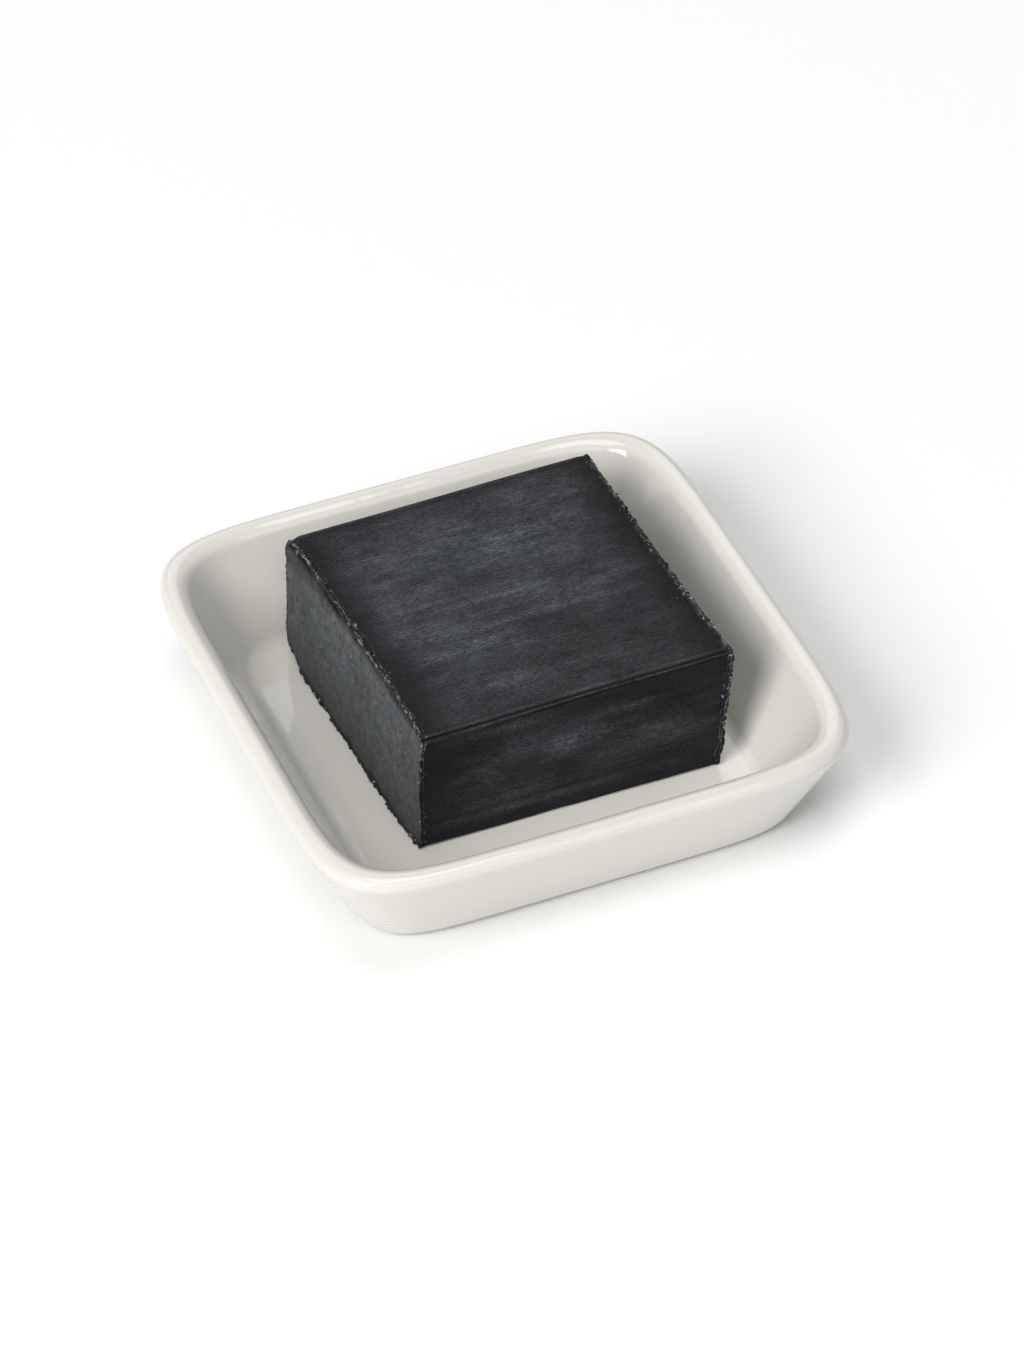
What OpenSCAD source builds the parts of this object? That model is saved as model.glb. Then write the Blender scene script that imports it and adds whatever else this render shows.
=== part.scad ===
// Charcoal bar lying in a square glazed dish.
// The origin is on the ground under the dish's centre. X runs left to right along the dish's
// front, Y runs from front to back, and Z is up.

/* [Dish] */
// Width of the dish over its lip, left to right
dish_w = 116; // [112:1:140]
// Depth of the dish over its lip, front to back
dish_d = 119.2; // [112:0.1:140]
// Height of the dish from its foot to the top of its lip
dish_h = 25.5; // [20:0.1:32]
// Thickness of the rounded lip
lip_t = 4.4; // [3:0.1:6]
// Distance that the lip stands out past the outer wall's lower end
wall_flare = 9; // [6:0.1:12]
// Squareness of the lip's outline: 2 is an ellipse, and higher is squarer
squareness = 6.7; // [4:0.1:9]
// How much squarer the outline gets with each millimetre in from the lip
squareness_gain = 0.1; // [0:0.01:0.2]

/* [Floor and foot] */
// Thickness of the floor
floor_t = 3.5; // [3:0.1:7]
// Distance from the lip's outside to the line where inner wall and floor would meet
floor_inset = 15.4; // [12:0.1:16]
// Radius of the hollow curve between inner wall and floor
floor_r = 3; // [2:0.5:8]
// Radius of the edge between outer wall and foot
foot_edge_r = 4.8; // [1:0.1:6]
// Width of the flat ring that the dish stands on
foot_ring_w = 6; // [5:0.5:12]
// Depth of the hollow inside the foot ring
foot_recess = 0.6; // [0.4:0.1:1.5]

/* [Bar] */
// Length of the bar between its two cut ends, left to right
bar_w = 66.6; // [50:0.1:68]
// Depth of the bar, front to back
bar_d = 69; // [50:0.1:70]
// Height of the bar
bar_h = 28.7; // [20:0.1:35]
// Turn of the whole bar in the dish, in degrees
bar_turn = 0.2; // [-1:0.1:1]
// Lean of both end cuts away from upright, in degrees
end_lean = 4; // [0:0.1:5]
// Lean of the back face away from upright, in degrees
back_lean = 4.8; // [0:0.1:6]
// Turn of the left end cut about the upright, in degrees
left_cut_turn = 1.8; // [-2:0.1:2]
// Turn of the right end cut about the upright, in degrees
right_cut_turn = 1; // [-2:0.1:2]
// Taper between the front and back faces, in degrees
side_taper = 1.3; // [0:0.1:2]
// Distance from the dish's centre to the bar's centre, left to right
bar_x = 3.6; // [-4:0.1:4]
// Distance from the dish's centre to the bar's centre, front to back
bar_y = 6.6; // [0:0.1:6.8]

/* [Smoothness] */
// Number of points round each outline of the dish
outline_steps = 72; // [48:8:96]

/* [Hidden] */

// Gap that keeps the two solids from sharing a face
rest_gap = 0.04;
// A length that is longer than anything here, for cutting
past = 200;

// Each round of the dish's section has its centre at [inset from the lip's outside, height]
lip_r = lip_t / 2;
lip_c = [lip_r, dish_h - lip_r];
foot_c = [wall_flare + foot_edge_r, foot_edge_r];
inner_corner = [floor_inset, floor_t];

// Lean from upright of the straight line that touches a circle of radius r0 round point p0
// below and a circle of radius r1 round point p1 above, both on their outer side
function wall_lean(p0, r0, p1, r1) =
    atan((p0[0] - p1[0]) / (p1[1] - p0[1])) - asin((r0 - r1) / norm(p1 - p0));
outer_lean = wall_lean(foot_c, foot_edge_r, lip_c, lip_r);
inner_lean = wall_lean(inner_corner, 0, lip_c, -lip_r);
fillet_c = inner_corner + floor_r * [tan((90 - inner_lean) / 2), 1];

// Section of the dish from under its foot, up over the lip and down to its floor
function arc(c, r, from, to, n) =
    [for (i = [0 : n]) let (a = from + (to - from) * i / n) [c[0] - r * cos(a), c[1] + r * sin(a)]];
section = concat(
    [[foot_c[0], -1]],
    arc(foot_c, foot_edge_r, -90, -outer_lean, 6),
    arc(lip_c, lip_r, -outer_lean, 180 - inner_lean, 12),
    arc(fillet_c, floor_r, -inner_lean, -90, 5)
);

// A superellipse: a square with bowed sides and round corners
function bow(v, n) = sign(v) * pow(abs(v), 2 / n);
function outline(inset) =
    let (n = squareness + squareness_gain * inset)
    [for (i = [0 : outline_steps - 1])
        let (a = 360 * i / outline_steps)
        [(dish_w / 2 - inset) * bow(cos(a), n), (dish_d / 2 - inset) * bow(sin(a), n)]];

// A closed solid whose skin runs through one outline for each point of the section
module skin(points) {
    n = outline_steps;
    last = len(points) - 1;
    rings = [for (p = points) for (q = outline(p[0])) [q[0], q[1], p[1]]];
    sides = [for (k = [0 : last - 1]) for (i = [0 : n - 1])
        let (j = (i + 1) % n)
        for (tri = [[k * n + i, (k + 1) * n + i, (k + 1) * n + j],
                    [k * n + i, (k + 1) * n + j, k * n + j]]) tri];
    bottom = [for (i = [0 : n - 1]) i];
    top = [for (i = [n - 1 : -1 : 0]) last * n + i];
    polyhedron(rings, concat([bottom], sides, [top]), convexity = 4);
}

// The dish: one fired piece with flared walls, a round lip and a foot ring
module dish() {
    color("ivory")
    difference() {
        skin(section);
        translate([-past / 2, -past / 2, -past]) cube(past);
        translate([0, 0, -1])
            linear_extrude(1 + foot_recess)
                polygon(outline(foot_c[0] + foot_ring_w));
    }
}

// One flat cut: all that lies on the +X side of a plane that leans and then turns
module cut(turn, lean) {
    rotate([0, lean, turn])
        translate([0, -past / 2, -past / 2]) cube(past);
}

// The bar: a cast slab with smooth sides, cut to length at both ends with a knife
module charcoal_bar() {
    color([0.13, 0.13, 0.16])
    translate([bar_x, bar_y, floor_t + rest_gap])
    difference() {
        translate([-bar_w, -bar_d, 0]) cube([2 * bar_w, 2 * bar_d, bar_h]);
        translate([bar_w / 2, 0, bar_h / 2]) cut(right_cut_turn, end_lean);
        translate([-bar_w / 2, 0, bar_h / 2]) cut(180 + left_cut_turn, -end_lean);
        translate([0, bar_d / 2, bar_h / 2]) cut(90 + bar_turn + side_taper / 2, back_lean);
        translate([0, -bar_d / 2, 0]) cut(-90 + bar_turn - side_taper / 2, 0);
    }
}

dish();
charcoal_bar();
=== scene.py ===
import math
import bmesh
import bpy
import numpy as np
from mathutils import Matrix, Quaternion, Vector


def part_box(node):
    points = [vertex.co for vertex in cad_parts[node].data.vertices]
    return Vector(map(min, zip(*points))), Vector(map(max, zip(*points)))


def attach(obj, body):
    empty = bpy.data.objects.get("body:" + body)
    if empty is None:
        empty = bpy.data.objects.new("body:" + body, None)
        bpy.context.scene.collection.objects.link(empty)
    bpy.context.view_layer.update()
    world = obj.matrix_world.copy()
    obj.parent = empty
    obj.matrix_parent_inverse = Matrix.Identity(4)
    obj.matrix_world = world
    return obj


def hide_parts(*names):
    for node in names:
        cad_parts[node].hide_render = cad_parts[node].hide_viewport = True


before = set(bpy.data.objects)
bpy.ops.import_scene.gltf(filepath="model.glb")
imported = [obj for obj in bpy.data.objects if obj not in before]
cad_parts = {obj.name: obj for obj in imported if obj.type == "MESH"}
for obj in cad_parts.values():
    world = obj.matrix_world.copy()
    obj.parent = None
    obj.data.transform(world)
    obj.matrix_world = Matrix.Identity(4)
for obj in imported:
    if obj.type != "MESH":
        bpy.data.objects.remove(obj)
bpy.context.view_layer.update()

# A charcoal bar lying in a square glazed dish. Blender works in metres in the CAD model's
# frame; sizes are written as a number times MM, and the bar is shaped in millimetres.
MM = 0.001
DISH_LOW, DISH_HIGH = (np.array(corner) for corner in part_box("dish"))
BAR_LOW, BAR_HIGH = (np.array(corner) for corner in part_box("charcoal_bar"))


# ---------------------------------------------------------------- camera, lights and floor

CAMERA_AZIMUTH = math.radians(-21.58)
CAMERA_ELEVATION = math.radians(40.82)
CAMERA_ROLL = math.radians(-1.32)
CAMERA_DISTANCE = 1319 * MM
CAMERA_AIM = Vector((4.0 * MM, 3.8 * MM, 11.6 * MM))
CAMERA_LENS_MM = 170.2
CAMERA_CLIP_START = 10 * MM
CAMERA_CLIP_END = 20

# Each soft box's azimuth and elevation in degrees, width and height in metres, and watts.
SOFT_BOXES = {
    "key_window": (-61, 38, 2.6, 2.9, 228),
    "top_softbox": (0, 88, 2.8, 2.8, 88),
    "front_softbox": (0, 46, 4.0, 2.6, 49),
    "back_softbox": (168, 38, 3.4, 2.6, 44),
    "right_softbox": (110, 40, 3.1, 1.9, 9),
}
LAMP_DISTANCE = 5.0
SKY_STRENGTH = 0.01

# The floor is flat out to the stage radius, then curves up, and turns grey between two heights.
STAGE_MIDDLE_RADIUS = 0.5
STAGE_RADIUS = 3.2
SWEEP_RADIUS = 0.8
SWEEP_STEPS = 12
BACKDROP_TOP = 1.1
STAGE_STEPS_ROUND = 96
STAGE_COLOUR = (0.91, 0.91, 0.91)
BACKDROP_COLOUR = (0.42, 0.42, 0.42)
BACKDROP_FADE_MM = (20, 500)


def direction(azimuth, elevation):
    """Unit vector from the object towards a place; azimuth 0 is the front, 90 the right."""
    flat = math.cos(elevation)
    return Vector((math.sin(azimuth) * flat, -math.cos(azimuth) * flat, math.sin(elevation)))


def make_camera():
    """The scene's camera, which looks down at the dish from the front left with a long lens."""
    camera = bpy.data.objects.new("camera", bpy.data.cameras.new("camera"))
    back = direction(CAMERA_AZIMUTH, CAMERA_ELEVATION)
    camera.location = CAMERA_AIM + back * CAMERA_DISTANCE
    camera.rotation_mode = "QUATERNION"
    level = (-back).to_track_quat("-Z", "Y")
    camera.rotation_quaternion = level @ Quaternion((0, 0, 1), CAMERA_ROLL)
    camera.data.lens = CAMERA_LENS_MM
    camera.data.clip_start = CAMERA_CLIP_START
    camera.data.clip_end = CAMERA_CLIP_END
    bpy.context.scene.collection.objects.link(camera)
    bpy.context.scene.camera = camera


def soft_box(name, azimuth, elevation, width, height, power):
    """A rectangular lamp that faces the object from an azimuth and elevation in degrees."""
    light = bpy.data.lights.new(name, "AREA")
    light.shape = "RECTANGLE"
    light.size = width
    light.size_y = height
    light.energy = power
    lamp = bpy.data.objects.new(name, light)
    away = direction(math.radians(azimuth), math.radians(elevation))
    lamp.location = away * LAMP_DISTANCE
    lamp.rotation_mode = "QUATERNION"
    lamp.rotation_quaternion = (-away).to_track_quat("-Z", "Y")
    bpy.context.scene.collection.objects.link(lamp)


def make_lights():
    """The soft boxes, a faint white sky, and plain colours in the picture."""
    for name, settings in SOFT_BOXES.items():
        soft_box(name, *settings)
    world = bpy.data.worlds.new("studio")
    world.use_nodes = True
    sky = world.node_tree.nodes["Background"]
    sky.inputs["Color"].default_value = (1, 1, 1, 1)
    sky.inputs["Strength"].default_value = SKY_STRENGTH
    bpy.context.scene.world = world
    view = bpy.context.scene.view_settings
    view.view_transform = "Standard"
    view.look = "None"


def floor_material():
    """A matt pale floor that turns grey up the backdrop, which keeps its light off the object."""
    material, tree, shader = new_material("studio_floor")
    up_wall = stretch_range(tree, height_mm(tree), *BACKDROP_FADE_MM)
    put(tree, shader.inputs["Base Color"],
        mix_colours(tree, up_wall, STAGE_COLOUR, BACKDROP_COLOUR))
    put(tree, shader.inputs["Roughness"], 0.9)
    put(tree, shader.inputs["Specular IOR Level"], 0.0)
    return material


def make_floor():
    """A round pale floor whose rim curves up into a low backdrop."""
    bend = np.linspace(0, math.pi / 2, SWEEP_STEPS)
    sweep_radii = STAGE_RADIUS + SWEEP_RADIUS * np.sin(bend)
    sweep_heights = SWEEP_RADIUS * (1 - np.cos(bend))
    radii = [STAGE_MIDDLE_RADIUS, *sweep_radii, sweep_radii[-1]]
    heights = [0, *sweep_heights, BACKDROP_TOP]
    turn = np.linspace(0, 2 * math.pi, STAGE_STEPS_ROUND, endpoint=False)
    rings = [
        np.column_stack([radius * np.cos(turn), radius * np.sin(turn), np.full_like(turn, height)])
        for radius, height in zip(radii, heights)
    ]
    faces = [range(STAGE_STEPS_ROUND)]
    faces += band_faces(len(rings), STAGE_STEPS_ROUND, inwards=True)
    add_mesh("studio_floor", np.vstack(rings), faces, floor_material())


# ---------------------------------------------------------------- mesh and noise helpers

# Large odd numbers that mix a cell's place and a seed into a random number of 32 bits. The
# shift keeps the numbers of all cells above zero.
CELL_MIX = np.array([374761393, 668265263, 2246822519], np.uint64)
SEED_MIX = 3266489917
FIRST_MIX = np.uint64(2654435761)
SECOND_MIX = np.uint64(1274126177)
LOW_BITS = np.uint64(0xFFFFFFFF)
HALF_OF_LOW_BITS = float(0x7FFFFFFF)
CELL_SHIFT = 100000


def add_mesh(name, points, faces, material):
    """A smooth-shaded piece, with its points in metres."""
    mesh = bpy.data.meshes.new(name)
    mesh.from_pydata([tuple(p) for p in points], [], [tuple(f) for f in faces])
    mesh.update()
    mesh.shade_smooth()
    mesh.materials.append(material)
    piece = bpy.data.objects.new(name, mesh)
    bpy.context.scene.collection.objects.link(piece)
    return piece


def band_faces(rings, count, inwards=False):
    """Quads between rings of count points that follow one another."""
    faces = []
    for k in range(rings - 1):
        for i in range(count):
            j = (i + 1) % count
            quad = (k * count + i, k * count + j, (k + 1) * count + j, (k + 1) * count + i)
            faces.append(quad[::-1] if inwards else quad)
    return faces


def end_faces(rings, count):
    """The two faces that close the first and the last of rings of count points."""
    return [range(count - 1, -1, -1), range((rings - 1) * count, rings * count)]


def add_attribute(piece, name, values):
    """One number per mesh point, which a material reads by that name."""
    attribute = piece.data.attributes.new(name, "FLOAT", "POINT")
    attribute.data.foreach_set("value", np.asarray(values, dtype=np.float32))


def random_cells(cells, seed):
    """A fixed random number from -1 to 1 for each row of whole numbers of zero or more."""
    mixed = (cells.astype(np.uint64) * CELL_MIX).sum(axis=1)
    mixed = (mixed + np.uint64(seed * SEED_MIX)) & LOW_BITS
    mixed = ((mixed ^ (mixed >> np.uint64(15))) * FIRST_MIX) & LOW_BITS
    mixed = ((mixed ^ (mixed >> np.uint64(13))) * SECOND_MIX) & LOW_BITS
    return (mixed ^ (mixed >> np.uint64(16))) / HALF_OF_LOW_BITS - 1


def noise(points, size, seed):
    """Smooth noise from -1 to 1 at rows of points; size is how long its waves are."""
    scaled = np.asarray(points, float) / size
    cell = np.floor(scaled)
    part = scaled - cell
    part = part * part * (3 - 2 * part)
    cell = cell.astype(np.int64) + CELL_SHIFT
    total = np.zeros(len(scaled))
    for corner in np.ndindex(2, 2, 2):
        corner = np.array(corner)
        weight = np.prod(np.where(corner, part, 1 - part), axis=1)
        total += weight * random_cells(cell + corner, seed)
    return total


def fractal(points, size, seed, octaves=3):
    """Noise with finer and fainter noise added to it."""
    size = np.asarray(size, float)
    return sum(noise(points, size / 2**k, seed + k) / 2**k for k in range(octaves))


def wave(along, size, seed):
    """Smooth noise from -1 to 1 along a line."""
    along = np.asarray(along, float)
    zeros = np.zeros_like(along)
    return noise(np.column_stack([along, zeros, zeros]), size, seed)


def bump(distance, width):
    """A smooth hump of height 1 that fades over a width."""
    return np.exp(-((distance / width) ** 2))


# ---------------------------------------------------------------- material helpers

# Which of a Mix node's sockets hold its share, its two colours and its mixed colour.
MIX_SHARE = 0
MIX_FIRST_COLOUR = 6
MIX_SECOND_COLOUR = 7
MIX_RESULT = 2


def new_material(name):
    """A material, its node tree and its Principled shader."""
    material = bpy.data.materials.new(name)
    material.use_nodes = True
    return material, material.node_tree, material.node_tree.nodes["Principled BSDF"]


def put(tree, socket, value):
    """Set an input to a number, a colour, or another node's output."""
    if isinstance(value, bpy.types.NodeSocket):
        tree.links.new(value, socket)
    elif isinstance(value, tuple) and len(value) == 3 and len(socket.default_value) == 4:
        socket.default_value = (*value, 1)
    else:
        socket.default_value = value


def object_mm(tree, stretch=(1, 1, 1)):
    """Object coordinates in millimetres, divided by a stretch along each axis."""
    place = tree.nodes.new("ShaderNodeTexCoord")
    scale = tree.nodes.new("ShaderNodeMapping")
    scale.inputs["Scale"].default_value = [1 / (MM * s) for s in stretch]
    tree.links.new(place.outputs["Object"], scale.inputs["Vector"])
    return scale.outputs["Vector"]


def height_mm(tree):
    """Height over the floor in millimetres."""
    place = tree.nodes.new("ShaderNodeSeparateXYZ")
    put(tree, place.inputs[0], object_mm(tree))
    return place.outputs["Z"]


def grain(tree, stretch, detail=3.0, roughness=0.6, distortion=0.0):
    """A noise texture whose patches are about stretch millimetres long along each axis."""
    node = tree.nodes.new("ShaderNodeTexNoise")
    put(tree, node.inputs["Vector"], object_mm(tree, stretch))
    put(tree, node.inputs["Scale"], 1.0)
    put(tree, node.inputs["Detail"], detail)
    put(tree, node.inputs["Roughness"], roughness)
    put(tree, node.inputs["Distortion"], distortion)
    return node.outputs["Fac"]


def attribute(tree, name):
    """A number that add_attribute gave to each mesh point."""
    node = tree.nodes.new("ShaderNodeAttribute")
    node.attribute_name = name
    return node.outputs["Fac"]


def stretch_range(tree, value, low, high, out_low=0.0, out_high=1.0):
    """Carry low to out_low and high to out_high, and stay between those two."""
    node = tree.nodes.new("ShaderNodeMapRange")
    put(tree, node.inputs["Value"], value)
    put(tree, node.inputs["From Min"], low)
    put(tree, node.inputs["From Max"], high)
    put(tree, node.inputs["To Min"], out_low)
    put(tree, node.inputs["To Max"], out_high)
    return node.outputs["Result"]


def math_node(tree, operation, first, second):
    """The result of an operation on two inputs."""
    node = tree.nodes.new("ShaderNodeMath")
    node.operation = operation
    put(tree, node.inputs[0], first)
    put(tree, node.inputs[1], second)
    return node.outputs["Value"]


def multiply(tree, first, second):
    """The product of two inputs."""
    return math_node(tree, "MULTIPLY", first, second)


def mix_colours(tree, share, first, second):
    """The first colour at a share of 0, the second at 1."""
    node = tree.nodes.new("ShaderNodeMix")
    node.data_type = "RGBA"
    put(tree, node.inputs[MIX_SHARE], share)
    put(tree, node.inputs[MIX_FIRST_COLOUR], first)
    put(tree, node.inputs[MIX_SECOND_COLOUR], second)
    return node.outputs[MIX_RESULT]


def bump_node(tree, height, distance, below=None):
    """Fine relief up to a distance in metres, on top of another bump if one is given."""
    node = tree.nodes.new("ShaderNodeBump")
    put(tree, node.inputs["Height"], height)
    put(tree, node.inputs["Distance"], distance)
    put(tree, node.inputs["Strength"], 1.0)
    if below is not None:
        put(tree, node.inputs["Normal"], below)
    return node.outputs["Normal"]


# ---------------------------------------------------------------- dish

LIP_THICKNESS = 4.4 * MM
INNER_LIP_RADIUS = 3.6 * MM
WALL_FLARE = 9.0 * MM
LIP_SQUARENESS = 6.7
SQUARENESS_GAIN = 0.1 / MM
FLOOR_THICKNESS = 3.5 * MM
FLOOR_INSET = 15.4 * MM
FLOOR_RADIUS = 3.0 * MM
FOOT_EDGE_RADIUS = 4.8 * MM
FOOT_RING_WIDTH = 6.0 * MM
FOOT_RECESS = 0.6 * MM
RECESS_SLOPE = 1.2 * MM
DISH_STEPS_ROUND = 400
OUTLINE_SAMPLES = 20001
LIP_WOBBLE = 0.10 * MM

# Throwing ridges on the outer wall, at the corner that lies this way from the dish's middle.
RIDGE_CORNER = np.array([-0.78, -0.62])
RIDGE_MIDDLE = 9 * MM
RIDGE_SPREAD = 5 * MM
RIDGE_LOWEST = 2 * MM
RIDGE_SPACING = 1.8 * MM
RIDGE_HEIGHT = 0.05 * MM
OUTER_WALL_SLOPE = 0.42

# In each pair of colours, noise goes from the first to the second. The glaze thins out below
# the first of the bare foot's heights, and below the second there is only clay.
GLAZE_COLOURS = ((0.662, 0.645, 0.590), (0.688, 0.674, 0.624))
GLAZE_SPECK_COLOUR = (0.45, 0.43, 0.38)
CLAY_COLOURS = ((0.50, 0.46, 0.40), (0.60, 0.57, 0.50))
BARE_FOOT_MM = (0.45, 0.25)


def superellipse(inset, count):
    """Points evenly spaced round the dish's outline, that far inside its lip."""
    half = (DISH_HIGH[:2] - DISH_LOW[:2]) / 2 - inset
    power = 2 / (LIP_SQUARENESS + SQUARENESS_GAIN * inset)
    turn = np.linspace(0, 2 * math.pi, OUTLINE_SAMPLES)
    c, s = np.cos(turn), np.sin(turn)
    x = half[0] * np.sign(c) * np.abs(c) ** power
    y = half[1] * np.sign(s) * np.abs(s) ** power
    run = np.concatenate([[0], np.cumsum(np.hypot(np.diff(x), np.diff(y)))])
    at = np.linspace(0, run[-1], count, endpoint=False)
    return np.column_stack([np.interp(at, run, x), np.interp(at, run, y)])


def arc(centre, radius, start, stop, count):
    """Section points [inset, height] round an arc; 0 degrees points outwards, 90 up."""
    turn = np.radians(np.linspace(start, stop, count))
    return np.column_stack([centre[0] - radius * np.cos(turn), centre[1] + radius * np.sin(turn)])


def line(start, stop, count):
    """Section points between two points, both left out."""
    part = np.linspace(0, 1, count + 2)[1:-1, None]
    return np.array(start) * (1 - part) + np.array(stop) * part


def wall_lean(low, low_radius, high, high_radius):
    """Lean from upright, in degrees, of a line touching one circle below and one above."""
    low, high = np.array(low), np.array(high)
    apart = high - low
    lean = math.atan2(-apart[0], apart[1])
    return math.degrees(lean - math.asin((low_radius - high_radius) / np.hypot(*apart)))


def dish_section():
    """Section [inset, height] from the middle of the underside, over the lip, to the floor."""
    height = DISH_HIGH[2]
    lip_radius = LIP_THICKNESS / 2
    lip = (lip_radius, height - lip_radius)
    foot = (WALL_FLARE + FOOT_EDGE_RADIUS, FOOT_EDGE_RADIUS)
    corner = (FLOOR_INSET, FLOOR_THICKNESS)
    outer = wall_lean(foot, FOOT_EDGE_RADIUS, lip, lip_radius)
    soft_lip = (lip_radius, height - INNER_LIP_RADIUS)
    inner = wall_lean(corner, 0, soft_lip, -INNER_LIP_RADIUS)
    reach = FLOOR_RADIUS * math.tan(math.radians(90 - inner) / 2)
    fillet = (FLOOR_INSET + reach, FLOOR_THICKNESS + FLOOR_RADIUS)
    ring = foot[0] + FOOT_RING_WIDTH
    foot_edge = arc(foot, FOOT_EDGE_RADIUS, -90, -outer, count=14)
    lip_outside = arc(lip, lip_radius, -outer, 90, count=14)
    lip_inside = arc(soft_lip, INNER_LIP_RADIUS, 90, 180 - inner, count=16)[1:]
    hollow = arc(fillet, FLOOR_RADIUS, -inner, -90, count=12)
    recess = [(ring + 12 * MM, FOOT_RECESS), (ring + RECESS_SLOPE, FOOT_RECESS), (ring, 0)]
    floor = [(fillet[0] + step * MM, FLOOR_THICKNESS) for step in (3, 10, 25)]
    return np.vstack([
        recess, line(recess[-1], foot_edge[0], count=3), foot_edge,
        line(foot_edge[-1], lip_outside[0], count=40), lip_outside, lip_inside,
        line(lip_inside[-1], hollow[0], count=26), hollow, floor,
    ])


def shape_dish_by_hand(points):
    """Small unevenness of a hand-finished dish: a wavy lip and ridges at one corner."""
    in_mm = points / MM
    height = points[:, 2] / DISH_HIGH[2]
    rise = np.clip(height, 0, 1) ** 2
    sway = fractal(in_mm * [1, 1, 0.2], 34, seed=11, octaves=2)
    points[:, 2] -= LIP_WOBBLE * rise * (1 + sway) / 2
    flat = points[:, :2]
    outward = flat / np.linalg.norm(flat, axis=1)[:, None]
    near_corner = np.clip((outward @ RIDGE_CORNER - 0.90) / 0.08, 0, 1)
    z = points[:, 2]
    low_wall = bump(z - RIDGE_MIDDLE, RIDGE_SPREAD) * (z > RIDGE_LOWEST)
    wall_reach = DISH_HIGH[:2] - OUTER_WALL_SLOPE * (DISH_HIGH[2] - points[:, 2:3])
    on_outer_wall = np.abs(flat / wall_reach).max(axis=1) > 0.8
    ridge = np.cos(2 * math.pi * z / RIDGE_SPACING + 0.8 * wave(in_mm[:, 0], 6, seed=5))
    push = RIDGE_HEIGHT * ridge * near_corner * low_wall * on_outer_wall
    points[:, :2] += outward * push[:, None]
    return points


def glaze_material():
    """Off-white glossy glaze, a little uneven, over a bare matt foot."""
    material, tree, shader = new_material("glaze")
    glaze = mix_colours(tree, grain(tree, (26, 26, 26), detail=2.0), *GLAZE_COLOURS)
    speck = stretch_range(tree, grain(tree, (0.7, 0.7, 0.7), detail=2.0), 0.70, 0.78)
    glaze = mix_colours(tree, multiply(tree, speck, 0.10), glaze, GLAZE_SPECK_COLOUR)
    clay = mix_colours(tree, grain(tree, (0.5, 0.5, 0.5)), *CLAY_COLOURS)
    bare = stretch_range(tree, height_mm(tree), *BARE_FOOT_MM)
    put(tree, shader.inputs["Base Color"], mix_colours(tree, bare, glaze, clay))
    gloss = stretch_range(tree, grain(tree, (9, 9, 9), detail=2.0), 0.3, 0.7, 0.04, 0.07)
    rough = math_node(tree, "MAXIMUM", gloss, multiply(tree, bare, 0.8))
    put(tree, shader.inputs["Roughness"], rough)
    put(tree, shader.inputs["IOR"], 1.5)
    ripple = grain(tree, (7, 7, 7), detail=1.5)
    put(tree, shader.inputs["Normal"], bump_node(tree, ripple, 0.05 * MM))
    return material


def make_dish():
    """The dish: its section swept round its outline, and closed below and on the floor."""
    count = DISH_STEPS_ROUND
    rings = [
        np.column_stack([superellipse(inset, count), np.full(count, height)])
        for inset, height in dish_section()
    ]
    centre = np.append((DISH_LOW[:2] + DISH_HIGH[:2]) / 2, 0)
    points = shape_dish_by_hand(np.vstack(rings)) + centre
    faces = band_faces(len(rings), count) + end_faces(len(rings), count)
    dish = add_mesh("dish_body", points, faces, glaze_material())
    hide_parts("dish")
    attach(dish, "dish")


# ---------------------------------------------------------------- bar

# The bar is shaped as a plain block in millimetres, x to the right, y to the back, z up,
# and then carried to the CAD bar's eight corners. Its two ends in x are the cut faces.
BAR_LONG = 66.6
BAR_DEEP = 69.0
BAR_TALL = 28.7
MOULD_RADIUS = 0.55

# Grid lines near a cut face and near a moulded face, and the even steps between them.
LINES_BY_CUT = [0, 0.13, 0.27, 0.43, 0.62, 0.85, 1.15, 1.55, 2.1, 2.8]
LINES_BY_SIDE = [0, 0.06, 0.13, 0.22, 0.34, 0.48, 0.64, 0.80, 0.96, 1.14, 1.34, 1.56, 1.8, 2.1]
LINES_BY_TOP = LINES_BY_SIDE[:12]
STEP_ALONG = 1.0
STEP_ACROSS = 0.36

# Heights and depths of the marks on the bar's faces.
FACE_SWELL = 0.10
STREAK_HEIGHT = 0.016
PRESSED_RIDGE = 0.10
PRESSED_GROOVE = 0.42
BACK_LINE_DEPTH = 0.10
BACK_LINE_IN = 1.5
UNDERSIDE_LIFT = 0.10
CUT_SWELL = 0.09
CUT_GRAIN = 0.020
KNIFE_STEP = 0.16
KNIFE_LINE = 0.03
TORN_SKIN = 0.34
TORN_HOLLOW = 0.20


def bar_corners():
    """The CAD bar's eight corners, as [left or right][front or back][low or high]."""
    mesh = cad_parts["charcoal_bar"].data
    points = np.array([v.co for v in mesh.vertices])
    middle = (BAR_LOW + BAR_HIGH) / 2
    corners = np.zeros((2, 2, 2, 3))
    for index in np.ndindex(2, 2, 2):
        sign = np.array(index) * 2 - 1
        corners[index] = points[np.argmax((points - middle) @ sign)]
    return corners


def carry_to_frame(block_points):
    """Carry points of the plain block to the leaning CAD bar."""
    share = block_points / [BAR_LONG, BAR_DEEP, BAR_TALL]
    corners = bar_corners()
    placed = np.zeros_like(block_points)
    for index in np.ndindex(2, 2, 2):
        weight = np.prod(np.where(index, share, 1 - share), axis=1)
        placed += weight[:, None] * corners[index]
    return placed


def spread(length, near, step):
    """Grid lines along a length, with given lines near both ends and even steps between."""
    near = np.array(near)
    count = round((length - 2 * near[-1]) / step)
    middle = np.linspace(near[-1], length - near[-1], count + 1)[1:-1]
    return np.concatenate([near, middle, (length - near)[::-1]])


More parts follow.
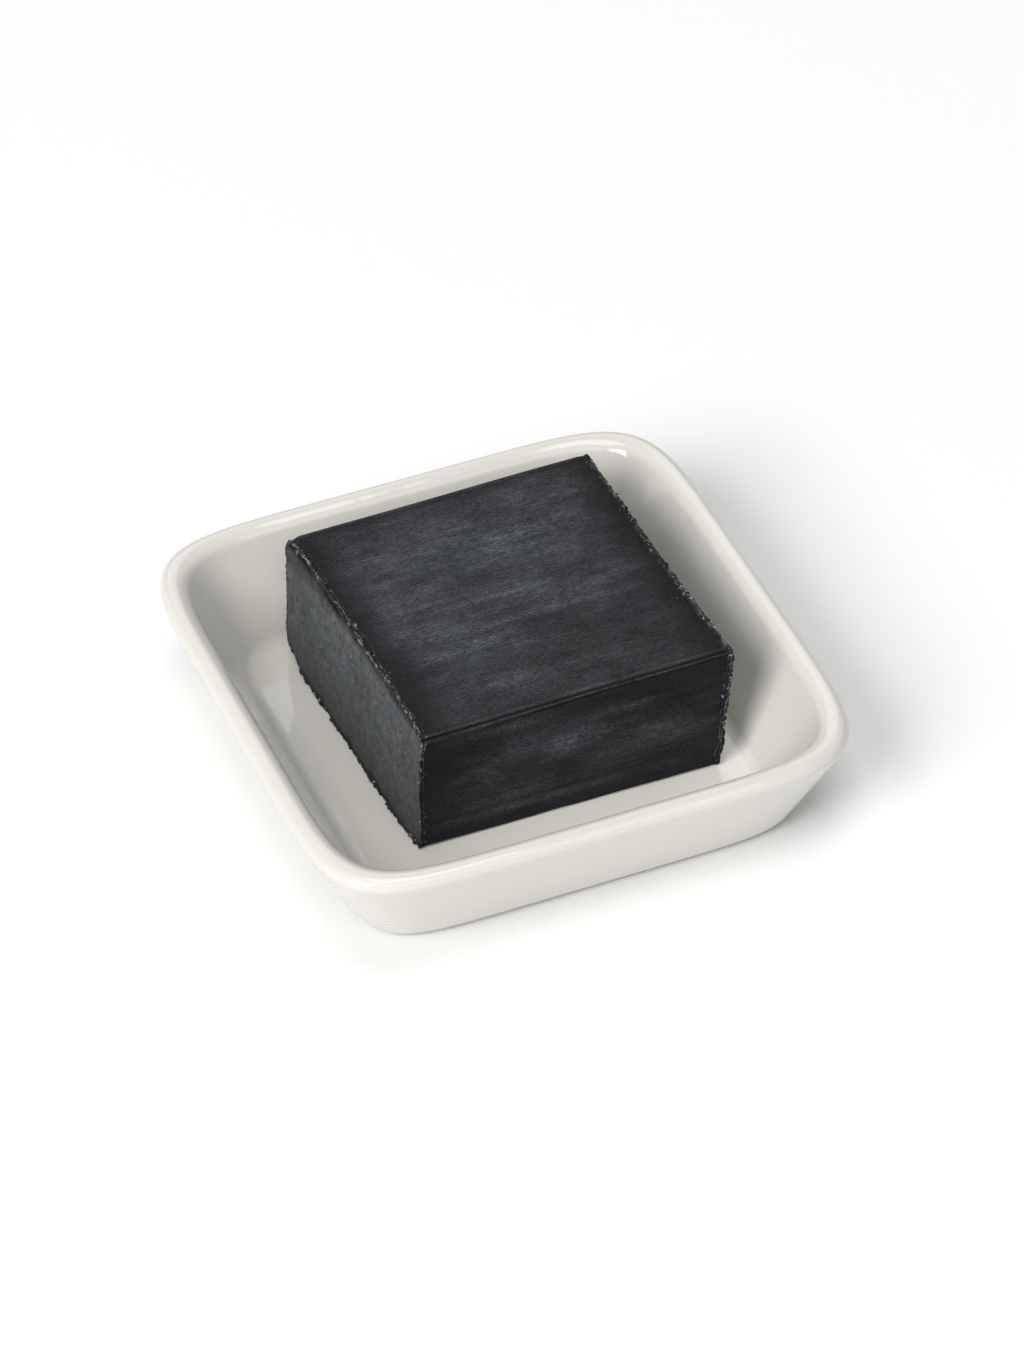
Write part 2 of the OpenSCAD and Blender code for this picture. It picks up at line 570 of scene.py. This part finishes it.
def box_lattice(xs, ys, zs):
    """Points and quads of a closed box with the given grid lines."""
    shape = (len(xs), len(ys), len(zs))
    skin = np.zeros(shape, bool)
    skin[[0, -1]] = True
    skin[:, [0, -1]] = True
    skin[:, :, [0, -1]] = True
    number = np.full(shape, -1)
    number[skin] = np.arange(skin.sum())
    i, j, k = np.nonzero(skin)
    faces = []
    for axis in range(3):
        for side in (0, -1):
            sheet = np.take(number, side, axis=axis)
            quad = [sheet[:-1, :-1], sheet[1:, :-1], sheet[1:, 1:], sheet[:-1, 1:]]
            if (axis == 1) != (side == 0):
                quad = quad[::-1]
            faces.append(np.stack(quad, axis=-1).reshape(-1, 4))
    return np.column_stack([xs[i], ys[j], zs[k]]), np.vstack(faces)


def round_moulded_edges(points):
    """Round the four long edges, and return the points and their outward directions."""
    size = np.array([BAR_DEEP, BAR_TALL])
    section = points[:, 1:]
    core = np.clip(section, MOULD_RADIUS, size - MOULD_RADIUS)
    out = section - core
    length = np.linalg.norm(out, axis=1)
    reach = np.abs(out).max(axis=1)
    unit = out / np.maximum(length, 1e-9)[:, None]
    rounded = points.copy()
    rounded[:, 1:] = core + unit * reach[:, None]
    outward = np.column_stack([np.zeros(len(points)), unit])
    return rounded, outward


def pressed_lines(p):
    """Grooves and ridges pressed along the top front edge, from 0 to about 1 at each point.

    They start on the front face at the left end and climb over the edge to the right.
    """
    x, y, z = p.T
    over_edge = np.where(z == BAR_TALL, y, z - BAR_TALL)
    steep = 0.031 * x - 0.20
    gentle = 0.45 + 0.0135 * x
    across = over_edge - (np.minimum(steep, gentle) + 0.06 * wave(x, 11, seed=24))
    here = (z == BAR_TALL) | (y == 0)
    later = np.clip((x - 12) / 14, 0, 1)
    groove = bump(across, 0.27)
    groove = groove + 0.85 * later * bump(across + 1.55, 0.30) + 0.22 * bump(across - 1.7, 0.35)
    ridge = bump(across - 0.85, 0.30) + bump(across + 0.78, 0.30)
    return groove * here, ridge * here * (0.8 + 0.35 * wave(x, 6, seed=25))


def side_relief(p):
    """Height in mm of the marks on the moulded faces, which run along x."""
    x, y, z = p.T
    from_end = np.minimum(x, BAR_LONG - x)
    away_from_cuts = np.clip(from_end / 3.5, 0, 1)
    height = FACE_SWELL * fractal(p, (22, 16, 16), seed=21, octaves=2)
    streaks = fractal(p, (5.0, 0.75, 0.75), seed=22, octaves=2)
    height += STREAK_HEIGHT * streaks * away_from_cuts
    groove, ridge = pressed_lines(p)
    height += PRESSED_RIDGE * ridge - PRESSED_GROOVE * groove
    height -= BACK_LINE_DEPTH * (z == BAR_TALL) * bump(y - BAR_DEEP + BACK_LINE_IN, 0.30)
    return height


def end_relief(p, seed):
    """Height in mm of the marks on a cut face, lower behind a curved knife line at the back."""
    from_back = BAR_DEEP - p[:, 1]
    from_top = BAR_TALL - p[:, 2]
    height = CUT_SWELL * fractal(p, (16, 16, 16), seed, octaves=2)
    height += CUT_GRAIN * fractal(p * [1, 1, 0.7], (0.9, 0.9, 0.9), seed + 3, octaves=2)
    before_line = from_back - 4.2 - 14 * np.clip(1 - from_top / 7, 0, 1) ** 2
    height -= KNIFE_STEP * np.clip(-before_line / 4, 0, 1)
    height += KNIFE_LINE * bump(before_line, 0.45)
    return height


def ragged_cut(p):
    """How far the skin by the cut edges is torn, in mm: up from its own face, and out along x."""
    x, y, z = p.T
    from_end = np.minimum(x, BAR_LONG - x)
    from_side = np.minimum(np.minimum(y, BAR_DEEP - y), np.minimum(z, BAR_TALL - z))
    which_end = np.where(x < BAR_LONG / 2, 0.0, 50.0)
    run = np.column_stack([which_end, y, z])
    tear = 0.5 + 0.5 * fractal(run, (1, 1.1, 1.1), seed=41, octaves=2)
    patch = 0.55 + 0.45 * fractal(run, (1, 7, 7), seed=44, octaves=2)
    raised = TORN_SKIN * tear * patch * bump(from_end, 0.42)
    hollow = TORN_HOLLOW * bump(from_end - 1.1, 0.6) * patch
    pushed = 0.55 * (tear - 0.45) * bump(from_side, 0.45) + 0.45 * (tear - 0.5) * bump(z, 0.8)
    return raised - hollow, pushed


def worn_corners(p):
    """Shift of each block point, in mm, where a corner or an edge is rubbed, sheared or swollen."""
    x, y, z = p.T
    from_right = BAR_LONG - x
    from_back = BAR_DEEP - y
    from_top = BAR_TALL - z
    shift = np.zeros_like(p)

    back_left = bump(x, 1.6) * bump(from_back, 1.6)
    back_left_top = back_left * np.clip(1 - from_top / 3.6, 0, 1) ** 2
    back_left_low = bump(x, 2.2) * bump(from_back, 3.0) * np.clip(1 - z / 5.5, 0, 1) ** 2
    shift[:, 0] += 0.15 * back_left_top + 0.95 * back_left_low - 0.40 * back_left
    shift[:, 1] -= 0.60 * back_left_top + 0.6 * back_left_low
    shift[:, 2] += 0.6 * bump(x, 2.5) * bump(from_back, 9) * bump(z, 3) - 0.20 * back_left_top

    top_left_edge = 0.55 + 0.40 * np.clip((y - 18) / 30, 0, 1) + 0.12 * wave(y, 9, seed=66)
    top_left_edge *= np.clip(from_back / 6, 0.1, 1) * np.clip(y / 8, 0, 1)
    shift[:, 0] += top_left_edge * bump(x, 3.0) * bump(from_top, 2.4)
    low_front_edge = 0.16 + 0.16 * wave(x, 6, seed=68)
    shift[:, 2] += low_front_edge * bump(y, 1.2) * bump(z, 1.0)

    front_left = bump(x, 3.0) * bump(y, 5.0)
    shift[:, 0] += front_left * (0.8 * bump(z, 9) - 0.4 * bump(from_top, 14))
    shift[:, 0] -= 0.9 * bump(from_right, 3.0) * bump(y, 3.0) * bump(z, 2.6)
    shift[:, 0] += 0.75 * bump(from_right, 3.0) * bump(y, 22) * bump(from_top, 14)
    shift[:, 2] += 0.25 * bump(from_right, 1.5) * bump(y, 1.5) * bump(from_top, 1.0)
    return shift


# Soft pale bloom on a face: centre and spread in mm along its two edges, strength and blueness. On
# the top the streaky pale patches are partly real haze and partly painted sheen of the back lamp.
TOP_BLOOM_AND_SHEEN = [
    (25, 53, 18, 11, 0.38, 1.0), (42, 48, 15, 8, 0.44, 0.9), (52, 60, 12, 7, 0.26, 0.0),
    (13, 31, 11, 6, 0.44, 0.7), (20, 20.5, 9, 4.5, 0.74, 0.9), (42, 32, 20, 6, 0.44, 0.3),
    (14, 44, 12, 9, 0.32, 0.4), (38, 27.0, 20, 0.8, 0.55, 0.0), (34, 35.0, 22, 0.6, 0.35, 0.0),
    (30, 9, 12, 3.5, 0.34, 0.0), (16, 13, 8, 5, 0.28, 0.8),
]
# On the front, the thin pale line 4.6 mm up and the three dark lines from 6.3 to 9.2 mm up are
# painted highlight and painted shade of small grooves that the mesh does not have.
FRONT_BLOOM_AND_GROOVE_SHADING = [
    (30.5, 17.2, 4.5, 2.6, 0.42, 0.3), (24, 19, 10, 6.5, 0.34, 1.0), (36, 17, 7, 6, 0.32, 1.0),
    (52, 13.5, 10, 4.5, 0.40, 0.1), (19, 25.8, 8, 1.1, 0.50, 0.1), (45, 22.6, 7, 0.9, 0.30, 0.1),
    (14, 13, 8, 7, 0.22, 0.5), (30, 8, 24, 3.0, 0.30, 0.05), (28, 4.6, 15, 0.9, 0.30, 0.0),
    (30, 6.3, 26, 0.4, -0.25, 0.0), (34, 9.2, 22, 0.4, -0.22, 0.0), (48, 7.6, 14, 0.4, -0.25, 0.0),
]
LEFT_BLOOM = [
    (45, 20, 13, 6, 0.38, 0.6), (18, 19, 11, 6, 0.20, 0.9), (66, 14, 3, 10, 0.22, 0.0),
    (30, 15, 5, 10, -0.20, 0.0), (3, 6, 6, 13, -0.32, 0.0),
]


def bloom_at(u, v, patches):
    """Bloom and its blueness at places on one face."""
    bloom_and_sheen = np.zeros_like(u)
    blue = np.zeros_like(u)
    for cu, cv, ru, rv, strength, blueness in patches:
        here = strength * bump(u - cu, ru) * bump(v - cv, rv)
        bloom_and_sheen = bloom_and_sheen + here
        blue = blue + here * blueness
    return np.clip(bloom_and_sheen, 0, 1.2), blue / np.maximum(bloom_and_sheen, 1e-6) * np.clip(bloom_and_sheen, 0, 1)


def paint_bloom(p):
    """Bloom and blueness of each point of the block; faces out of sight get plain noise. On the top
    the bloom is partly painted sheen, and the front's is set far lower, partly painted shade.
    """
    x, y, z = p.T
    top, top_blue = bloom_at(x, y, TOP_BLOOM_AND_SHEEN)
    front, front_blue = bloom_at(x, z, FRONT_BLOOM_AND_GROOVE_SHADING)
    left, left_blue = bloom_at(y, z, LEFT_BLOOM)
    # The top: partly real haze, partly painted sheen of the back lamp.
    top = 0.26 + 0.82 * top
    front = front + 0.10 * fractal(p, (8, 2.2, 2.2), seed=67, octaves=2)
    inside_front = np.clip((x - 1.0) / 5, 0.1, 1) * np.clip((z - 0.8) / 3, 0.15, 1)
    # The front starts far lower than the top, partly painted shade, and fades near the left end and
    # the bottom.
    front = np.clip(0.03 + 0.98 * front, 0, 1.2) * inside_front
    # The left end gets lighter towards the top.
    left = 0.30 + 0.022 * z + left
    plain = 0.55 + 0.45 * fractal(p, (26, 12, 12), seed=61, octaves=2)
    faces = [z == BAR_TALL, y == 0, x == 0]
    bloom_and_sheen = np.select(faces, [top, front, left], plain)
    blue = np.select(faces, [top_blue, front_blue, left_blue], 0.5 * plain)
    return bloom_and_sheen, blue


# In each pair, noise goes from the first colour to the second.
SKIN_COLOURS = ((0.004, 0.004, 0.006), (0.017, 0.016, 0.021))
GREY_BLOOM_COLOURS = ((0.203, 0.199, 0.216), (0.190, 0.203, 0.208))
TEAL_BLOOM_COLOURS = ((0.150, 0.180, 0.230), (0.138, 0.190, 0.222))
# Darkens the top's borders, and paints shade in the grooves, under the burr and along the foot of
# the cut faces.
DARK_BORDER_AND_SHADE_COLOUR = (0.004, 0.004, 0.005)
PLAIN_CUT_COLOUR = (0.046, 0.046, 0.047)
WARM_CUT_COLOURS = ((0.077, 0.076, 0.080), (0.172, 0.168, 0.177))
COLD_CUT_COLOURS = ((0.072, 0.081, 0.084), (0.154, 0.182, 0.197))
PIT_COLOUR = (0.026, 0.027, 0.029)
CRUMB_COLOURS = ((0.008, 0.008, 0.009), (0.40, 0.40, 0.41))


def drawn_lines(tree):
    """Long streaks along x, and the same streaks broken up by short scratches."""
    long_grain = grain(tree, (8.0, 0.30, 0.30), 3.0, 0.7)
    short_grain = grain(tree, (1.1, 0.22, 0.22), 2.0, 0.75)
    long_lines = stretch_range(tree, long_grain, 0.40, 0.62, 0.62, 1.05)
    short_lines = stretch_range(tree, short_grain, 0.38, 0.62, 0.35, 1.25)
    return long_lines, multiply(tree, long_lines, short_lines)


def skin_colour(tree, bloom_and_sheen, blue, lines):
    """Near-black skin under a streaky, cloudy bloom that is grey or teal."""
    fine = grain(tree, (0.45, 0.22, 0.22), 2.0, 0.7)
    bands = stretch_range(tree, grain(tree, (14, 3.2, 3.2), 3.0, 0.6), 0.34, 0.66, 0.62, 1.1)
    clouds = stretch_range(tree, grain(tree, (9, 7, 7), 4.0, 0.55, 0.6), 0.34, 0.66, 0.55, 1.1)
    dust = stretch_range(tree, fine, 0.38, 0.62, 0.60, 1.25)
    amount = multiply(tree, multiply(tree, lines, multiply(tree, bands, clouds)), bloom_and_sheen)
    amount = multiply(tree, amount, multiply(tree, dust, 0.80))
    hue = stretch_range(tree, grain(tree, (6, 5, 5), 2.0, 0.6), 0.38, 0.62)
    grey = mix_colours(tree, hue, *GREY_BLOOM_COLOURS)
    teal = mix_colours(tree, hue, *TEAL_BLOOM_COLOURS)
    dark = mix_colours(tree, stretch_range(tree, fine, 0.38, 0.62), *SKIN_COLOURS)
    return mix_colours(tree, amount, dark, mix_colours(tree, blue, grey, teal))


def cut_colour(tree, bloom_and_sheen, blue, grit):
    """A grainy cut face with dark pits, paler with bloom, in smears of warm and cold grey."""
    smear = stretch_range(tree, grain(tree, (2.2, 2.2, 2.2), 4.0, 0.75, 0.8), 0.36, 0.64)
    warm = mix_colours(tree, smear, *WARM_CUT_COLOURS)
    cold = mix_colours(tree, smear, *COLD_CUT_COLOURS)
    drift = stretch_range(tree, grain(tree, (9, 9, 7), 2.0, 0.6), 0.38, 0.62, -0.2, 0.6)
    coldness = math_node(tree, "ADD", multiply(tree, blue, 2.2), drift)
    worn = mix_colours(tree, bloom_and_sheen, PLAIN_CUT_COLOUR, mix_colours(tree, coldness, warm, cold))
    return mix_colours(tree, stretch_range(tree, grit, 0.36, 0.56, 0.30, 1.0), PIT_COLOUR, worn)


def charcoal_material():
    """Blue-black charcoal: smooth streaky skin, and grainy paler cut faces."""
    material, tree, shader = new_material("charcoal")
    cut = attribute(tree, "cut")
    bloom_and_sheen = attribute(tree, "bloom_and_sheen")
    blue = attribute(tree, "blue")
    long_lines, lines = drawn_lines(tree)
    grit = grain(tree, (0.24, 0.24, 0.34), 3.0, 0.65)
    skin = skin_colour(tree, bloom_and_sheen, blue, lines)
    colour = mix_colours(tree, cut, skin, cut_colour(tree, bloom_and_sheen, blue, grit))
    # Dark borders, and painted shade in the grooves, under the burr and along the foot of the cut
    # faces.
    colour = mix_colours(tree, attribute(tree, "dark_border_and_shade"), colour, DARK_BORDER_AND_SHADE_COLOUR)
    put(tree, shader.inputs["Base Color"], colour)
    rough_skin = stretch_range(tree, long_lines, 0.3, 1.0, 0.48, 0.68)
    rough = math_node(tree, "MAXIMUM", rough_skin, multiply(tree, cut, 0.8))
    put(tree, shader.inputs["Roughness"], rough)
    put(tree, shader.inputs["Specular IOR Level"], 0.14)
    ripples = bump_node(tree, lines, 0.035 * MM)
    put(tree, shader.inputs["Normal"], bump_node(tree, grit, 0.08 * MM, ripples))
    return material


def crumb_material():
    """Torn charcoal along the cut edges: mostly dark, some of it pale."""
    material, tree, shader = new_material("charcoal_crumb")
    grit = grain(tree, (0.22, 0.22, 0.22), 3.0, 0.7)
    mottle = stretch_range(tree, grit, 0.38, 0.62, 0.15, 1.2)
    share = multiply(tree, attribute(tree, "tone"), mottle)
    put(tree, shader.inputs["Base Color"], mix_colours(tree, share, *CRUMB_COLOURS))
    put(tree, shader.inputs["Roughness"], stretch_range(tree, grit, 0.3, 0.7, 0.45, 0.8))
    put(tree, shader.inputs["Specular IOR Level"], 0.3)
    put(tree, shader.inputs["Normal"], bump_node(tree, grit, 0.08 * MM))
    return material


def make_block():
    """The bar itself: one closed mesh with all its marks, and the numbers that colour it."""
    plain, faces = box_lattice(
        spread(BAR_LONG, LINES_BY_CUT, STEP_ALONG),
        spread(BAR_DEEP, LINES_BY_SIDE, STEP_ACROSS),
        spread(BAR_TALL, LINES_BY_TOP, STEP_ACROSS),
    )
    points, outward = round_moulded_edges(plain)
    x, y, z = plain.T
    on_end = (x == 0) | (x == BAR_LONG)
    on_side = (y == 0) | (y == BAR_DEEP) | (z == 0) | (z == BAR_TALL)
    on_left_half = x < BAR_LONG / 2
    raised, pushed = ragged_cut(plain)
    up = (side_relief(plain) + raised) * on_side
    underneath = np.clip(-outward[:, 2], 0, 1)
    up = up * (1 - underneath) - UNDERSIDE_LIFT * underneath * on_side
    marks = np.where(on_left_half, end_relief(plain, seed=31), end_relief(plain, seed=36))
    points += outward * up[:, None]
    points[:, 0] += np.where(on_left_half, -1.0, 1.0) * (marks + pushed) * on_end
    points += worn_corners(plain)
    bar = add_mesh("charcoal_block", carry_to_frame(points), faces, charcoal_material())
    add_attribute(bar, "cut", (on_end & ~on_side).astype(float))
    paint_block(bar, plain, on_end)
    return bar


def paint_block(bar, plain, on_end):
    """Dark borders, painted shade in the grooves, under the burr and along the foot of the cut
    faces, painted highlights on the pressed ridges, and the bloom, as attributes of the block.
    """
    x, y, z = plain.T
    top = z == BAR_TALL
    from_back = BAR_DEEP - y
    from_top = BAR_TALL - z
    from_end = np.minimum(x, BAR_LONG - x) + 1.2 * fractal(plain, (9, 9, 9), seed=63, octaves=2)
    from_front_back = np.minimum(1.6 * y, from_back)
    inside = np.clip((from_end - 2.0) / 6.5, 0, 1) * np.clip((from_front_back + 0.5) / 4.0, 0, 1)
    border = 1 - inside
    groove, ridge = pressed_lines(plain)
    # The back line's groove also gets painted shade, and the ridge beside it a painted highlight.
    groove += 0.25 * top * bump(from_back - BACK_LINE_IN, 0.30)
    ridge += 0.5 * top * bump(from_back - BACK_LINE_IN / 2, 0.35)
    # Darker borders on the top, and painted shade in the pressed grooves.
    dark_border_and_groove_shade = np.clip(0.3 * border * top + groove, 0, 1)

    above_arc = np.clip((7.0 - from_top - 0.16 * from_back) / 2.0, 0, 1) * (from_back < 44)
    # Painted shadow of the overhanging burr on the cut face.
    shadow_under_burr = bump(from_top - 0.8, 1.1) * (0.7 + 0.5 * wave(y, 5, seed=64))
    # Painted shade along the foot of the cut faces, by the floor.
    foot = bump(z, 1.1 + 0.9 * wave(y, 4, seed=65) ** 2)
    # On the cut faces: the painted shadow and shade, and the left end darker above the knife arc.
    shade_and_arc_darkening_on_cut = np.clip(0.85 * shadow_under_burr + 0.95 * foot + 0.42 * above_arc * (x == 0), 0, 1)

    bloom_and_sheen, blue = paint_bloom(plain)
    # The pressed ridges are painted paler: a painted highlight along them.
    bloom_and_sheen = bloom_and_sheen * np.where(top, 1 - 0.68 * border, 1.0) + 0.55 * ridge
    add_attribute(bar, "dark_border_and_shade", np.where(on_end, shade_and_arc_darkening_on_cut, dark_border_and_groove_shade))
    add_attribute(bar, "bloom_and_sheen", np.clip(bloom_and_sheen, 0, 1.5))
    add_attribute(bar, "blue", blue)


# ---------------------------------------------------------------- torn edges of the bar

# Sizes in mm. The split is a gap that opens between two threads of the top left edge.
STRAND_SIDES = 8
STRAND_STEP = 0.22
THINNEST_STRAND = 0.03
SPLIT_MIDDLE = 31
SPLIT_SPREAD = 5.0
SPLIT_WIDTH = 0.9
CRUMB_RADII = (0.045, 0.42)
CRUMB_RADIUS_SPREAD = 0.55
FINE_CRUMB_RADIUS = 0.17
CRUMB_JAGGEDNESS = 0.38
CRUMB_SQUASH = ([0.9, 0.55, 0.4], [1.5, 1.0, 0.85])
CRUMB_PALE_TONES = (0.35, 1.0)
CRUMB_DARK_TONE = 0.06
CRUMBS_ON_SKIN = 0.6
CROWD_SIZE = 2.6
CROWD_SEEDS = {"left": 70, "right": 110}
SIDE_SEEDS = {"top": 1, "bottom": 2, "front": 3, "back": 4}
WORN_BACK = 3.5

# Crumbs on each cut edge: end, side, how many, share of pale ones, radius, reach from the edge.
CRUMB_BEDS = [
    ("left", "top", 1000, 0.40, 0.09, 0.40),
    ("right", "top", 1000, 0.40, 0.09, 0.40),
    # The bottom edges get few pale crumbs: painted shade along the floor.
    ("left", "bottom", 460, 0.05, 0.23, 0.30),
    ("right", "bottom", 200, 0.10, 0.085, 0.40),
    ("left", "front", 340, 0.24, 0.08, 0.40),
    ("right", "front", 560, 0.30, 0.09, 0.45),
    ("left", "back", 40, 0.10, 0.06, 0.40),
    ("right", "back", 160, 0.30, 0.085, 0.40),
]


def edge_points(end, side, run, inward, down):
    """Block points by a cut edge: inward along the skin and down along the cut face, in mm."""
    x = inward if end == "left" else BAR_LONG - inward
    place = {
        "top": (x, run, BAR_TALL - down),
        "bottom": (x, run, down),
        "front": (x, down, run),
        "back": (x, BAR_DEEP - down, run),
    }[side]
    return np.column_stack(np.broadcast_arrays(*place))


def crumb_seed_shape(subdivisions):
    """Points and triangles of a small unit ball, to be broken into crumbs."""
    ball = bmesh.new()
    bmesh.ops.create_icosphere(ball, subdivisions=subdivisions, radius=1.0)
    points = np.array([v.co for v in ball.verts])
    faces = np.array([[v.index for v in f.verts] for f in ball.faces])
    ball.free()
    return points, faces


def random_turns(rng, count):
    """Evenly spread random rotation matrices."""
    q = rng.normal(size=(count, 4))
    w, x, y, z = (q / np.linalg.norm(q, axis=1)[:, None]).T
    return np.array([
        [1 - 2 * (y * y + z * z), 2 * (x * y - z * w), 2 * (x * z + y * w)],
        [2 * (x * y + z * w), 1 - 2 * (x * x + z * z), 2 * (y * z - x * w)],
        [2 * (x * z - y * w), 2 * (y * z + x * w), 1 - 2 * (x * x + y * y)],
    ]).transpose(2, 0, 1)


def crumbs_at(centres, radii, tones, rng):
    """Closed jagged crumbs in block mm, fine and coarse: points, faces, a tone for each point."""
    parts = []
    fine = radii < FINE_CRUMB_RADIUS
    for subdivisions, chosen in ((1, fine), (2, ~fine)):
        ball, triangles = crumb_seed_shape(subdivisions)
        count = int(chosen.sum())
        jagged = ball[None] * (1 + CRUMB_JAGGEDNESS * rng.uniform(-1, 1, (count, len(ball), 1)))
        squash = rng.uniform(*CRUMB_SQUASH, (count, 3))
        shape = np.einsum("nij,nvj->nvi", random_turns(rng, count), jagged * squash[:, None])
        points = centres[chosen][:, None] + shape * radii[chosen][:, None, None]
        first_point = np.arange(count)[:, None, None] * len(ball)
        faces = (triangles[None] + first_point).reshape(-1, 3)
        parts.append((points.reshape(-1, 3), faces, np.repeat(tones[chosen], len(ball))))
    return parts


def scatter(rng, end, side, count, pale_share, size, reach):
    """Crumbs along one cut edge: centres, radii and tones."""
    long_way = BAR_DEEP if side in ("top", "bottom") else BAR_TALL
    run = rng.uniform(0.1, long_way - 0.1, count * 3)
    crowd = 0.45 + 0.75 * wave(run, CROWD_SIZE, CROWD_SEEDS[end] + SIDE_SEEDS[side])
    run = run[rng.uniform(size=len(run)) < crowd][:count]
    radii = np.clip(size * rng.lognormal(0, CRUMB_RADIUS_SPREAD, len(run)), *CRUMB_RADII)
    on_skin = rng.uniform(size=len(run)) < CRUMBS_ON_SKIN
    far = rng.exponential(reach, len(run))
    near = -radii * rng.uniform(-0.5, 0.7, len(run))
    inward = np.where(on_skin, far, near)
    down = np.where(on_skin, near, 0.7 * far)
    if side == "bottom":
        # Off the worn back corner, and higher than the floor that the bar lies on.
        run = run * (BAR_DEEP - WORN_BACK) / BAR_DEEP
        down = np.maximum(down, 0.08 + radii * 1.3)
    pale = rng.uniform(size=len(run)) < pale_share
    tones = np.where(pale, rng.uniform(*CRUMB_PALE_TONES, len(run)), CRUMB_DARK_TONE)
    return edge_points(end, side, run, inward, down), radii, tones


def strand(end, side, start, stop, inward, down, radius, tone, seed):
    """A torn thread lying along a cut edge, as a closed lumpy tube in block mm."""
    count = int((stop - start) / STRAND_STEP)
    run = np.linspace(start, stop, count)
    sway = 0.20 * wave(run, 3.4, seed) + 0.12 * wave(run, 0.9, seed + 1)
    lift = 0.08 * wave(run, 1.3, seed + 2)
    centre = edge_points(end, side, run, inward(run) + sway, down(run) + lift)
    thick = np.maximum(radius * (0.75 + 0.45 * wave(run, 0.7, seed + 3)), THINNEST_STRAND)
    thick = thick * np.minimum(1, np.minimum(run - start, stop - run) / 1.2 + 0.1)
    turn = np.linspace(0, 2 * math.pi, STRAND_SIDES, endpoint=False)
    across, upward = np.cos(turn), np.sin(turn)
    skin = [np.repeat(run, STRAND_SIDES), np.tile(across, count), np.tile(upward, count)]
    lump = noise(np.column_stack(skin), (0.4, 0.9, 0.9), seed + 4)
    lump = 1 + 0.35 * lump.reshape(count, STRAND_SIDES)
    first = np.array([1.0, 0, 0])
    second = np.array([0, 0, 1.0]) if side in ("top", "bottom") else np.array([0, 1.0, 0])
    ring = across[None, :, None] * first + upward[None, :, None] * second
    points = centre[:, None] + ring * (thick[:, None] * lump)[:, :, None]
    faces = band_faces(count, STRAND_SIDES) + end_faces(count, STRAND_SIDES)
    tones = np.repeat(tone * np.clip(0.5 + wave(run, 0.9, seed + 5), 0.1, 1.7), STRAND_SIDES)
    return points.reshape(-1, 3), faces, np.clip(tones, 0.05, 1)


def always(distance):
    """A distance in mm that stays the same along an edge."""
    return lambda run: np.full_like(run, distance)


def by_split(distance, share=1.0):
    """A distance in mm that grows by a share of the split's width, where the split is."""
    return lambda run: distance + share * SPLIT_WIDTH * bump(run - SPLIT_MIDDLE, SPLIT_SPREAD)


def slanting(slope, start):
    """A distance in mm that grows evenly from a start on an edge."""
    return lambda run: slope * (run - start)


def edge_strands():
    """All the torn threads: end and side, start and stop, inward and down, radius, tone, seed."""
    last = BAR_DEEP - 1.6
    high = BAR_TALL - 0.3
    return [
        strand("left", "top", 0.4, last, by_split(0.10, -0.10), always(-0.02), 0.26, 0.45, 101),
        strand("left", "top", 0.4, 52, by_split(0.50), always(-0.02), 0.26, 0.40, 111),
        strand("left", "top", 4, 48, by_split(0.85), always(0.08), 0.18, 0.18, 121),
        strand("left", "top", 2, last, always(-0.05), always(0.50), 0.24, 0.12, 131),
        strand("right", "top", 0.5, last, always(0.25), always(0.02), 0.24, 0.30, 141),
        strand("right", "top", 0.5, 44, always(0.85), always(0.08), 0.15, 0.20, 151),
        strand("left", "front", 20, high, slanting(0.024, 20), always(0.03), 0.28, 0.55, 161),
        strand("left", "front", 21, high, slanting(0.10, 20), always(0.05), 0.20, 0.40, 171),
        strand("left", "front", 0.6, 22, always(0.05), always(0.05), 0.16, 0.18, 181),
        strand("left", "front", 0.6, 24, always(0.55), always(0.05), 0.22, 0.05, 185),
        strand("right", "front", 0.8, high, always(0.25), always(0.05), 0.22, 0.35, 191),
        strand("right", "front", 2, high, always(1.05), always(0.10), 0.14, 0.22, 201),
        strand("right", "front", 22.5, high, always(0.40), always(-0.05), 0.30, 0.62, 221),
        # The dark thread on the bottom left edge is painted shade along the floor.
        strand("left", "bottom", 0.8, BAR_DEEP - 6, always(-0.05), always(0.45), 0.26, 0.06, 211),
    ]


def make_crumbs():
    """All the crumbs and threads of the bar's cut edges, as one piece."""
    rng = np.random.default_rng(20)
    beds = [scatter(rng, *bed) for bed in CRUMB_BEDS]
    centres, radii, tones = (np.concatenate(column) for column in zip(*beds))
    parts = crumbs_at(centres, radii, tones, rng) + edge_strands()
    points, faces, shades = [], [], []
    start = 0
    for part_points, part_faces, part_tones in parts:
        points.append(part_points)
        faces += [tuple(int(i) + start for i in face) for face in part_faces]
        shades.append(part_tones)
        start += len(part_points)
    points = np.vstack(points)
    placed = carry_to_frame(points + worn_corners(points))
    crumbs = add_mesh("charcoal_crumbs", placed, faces, crumb_material())
    add_attribute(crumbs, "tone", np.concatenate(shades))
    return crumbs


def make_bar():
    """The bar with its crumbs, which move with it."""
    block = make_block()
    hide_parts("charcoal_bar")
    for piece in (block, make_crumbs()):
        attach(piece, "bar")


make_camera()
make_lights()
make_floor()
make_dish()
make_bar()
